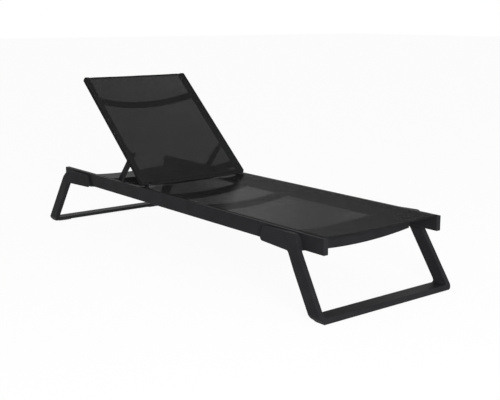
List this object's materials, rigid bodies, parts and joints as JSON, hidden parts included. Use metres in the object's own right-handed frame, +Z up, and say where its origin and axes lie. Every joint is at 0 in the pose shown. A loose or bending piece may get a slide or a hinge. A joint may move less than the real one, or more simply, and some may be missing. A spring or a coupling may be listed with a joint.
{
  "type": "reclining sun lounger",
  "caption": "Reclining sun lounger: mesh seat sling between hollow side rails on bent-bar leg frames, and a hinged sling backrest propped on notched racks by a swinging bail.",
  "frame": {"origin": "on the floor, under the middle of the overall length and width", "axes": "+X towards the foot end, +Y to the left of a person lying on it, +Z up"},
  "size_m": [2.1138, 0.692, 0.764],
  "materials": {
    "resin": "fine-grained matt dark grey",
    "coated_metal": "matt dark grey powder coat",
    "mesh": "open weave of coated yarn",
    "steel": "plain stainless",
    "rubber": "matt",
    "brass": "plain"
  },
  "bodies": {
    "frame": {"crossbar_dowels": "steel", "foot_bridge": "resin", "foot_left_glide": "rubber", "foot_left_rail_cap": "resin", "foot_leg_frame": "resin", "foot_right_glide": "rubber", "foot_right_rail_cap": "resin", "head_bridge": "resin", "head_left_glide": "rubber", "head_left_rail_cap": "resin", "head_leg_frame": "resin", "head_right_glide": "rubber", "head_right_rail_cap": "resin", "hinge_bracket_screws": "steel", "hinge_crossbar": "resin", "left_hinge_bracket": "resin", "left_hinge_pin": "steel", "left_rack": "resin", "left_seat_keder": "resin", "left_side_rail": "resin", "leg_bolts": "steel", "leg_inserts": "brass", "mid_crossbar": "resin", "rack_screws": "steel", "right_hinge_bracket": "resin", "right_hinge_pin": "steel", "right_rack": "resin", "right_seat_keder": "resin", "right_side_rail": "resin", "seat_sling": "mesh"},
    "backrest": {"back_bar_screws": "steel", "back_sling": "mesh", "left_back_stile": "coated_metal", "left_hinge_knuckle": "resin", "left_prop_boss": "resin", "left_prop_pin": "steel", "left_stile_cap": "resin", "lower_back_bar": "resin", "prop_washers": "steel", "right_back_stile": "coated_metal", "right_hinge_knuckle": "resin", "right_prop_boss": "resin", "right_prop_pin": "steel", "right_stile_cap": "resin", "upper_back_bar": "resin"},
    "prop": {"left_prop_arm": "resin", "left_prop_foot": "steel", "prop_crossbar": "resin", "right_prop_arm": "resin", "right_prop_foot": "steel"}
  },
  "joints": [
    {"name": "backrest_recline", "type": "hinge", "parent": "frame", "child": "backrest", "pos_m": [-0.213, 0, 0.313], "axis": [0, 1, 0], "range_deg": [-41, 24]},
    {"name": "prop_swing", "type": "hinge", "parent": "backrest", "child": "prop", "pos_m": [-0.34507, 0, 0.42781], "axis": [0, 1, 0], "range_deg": [-46, 78.5]}
  ],
  "couplings": [
    {"joint": "prop_swing", "follows": "backrest_recline", "ratio": -1.9}
  ]
}
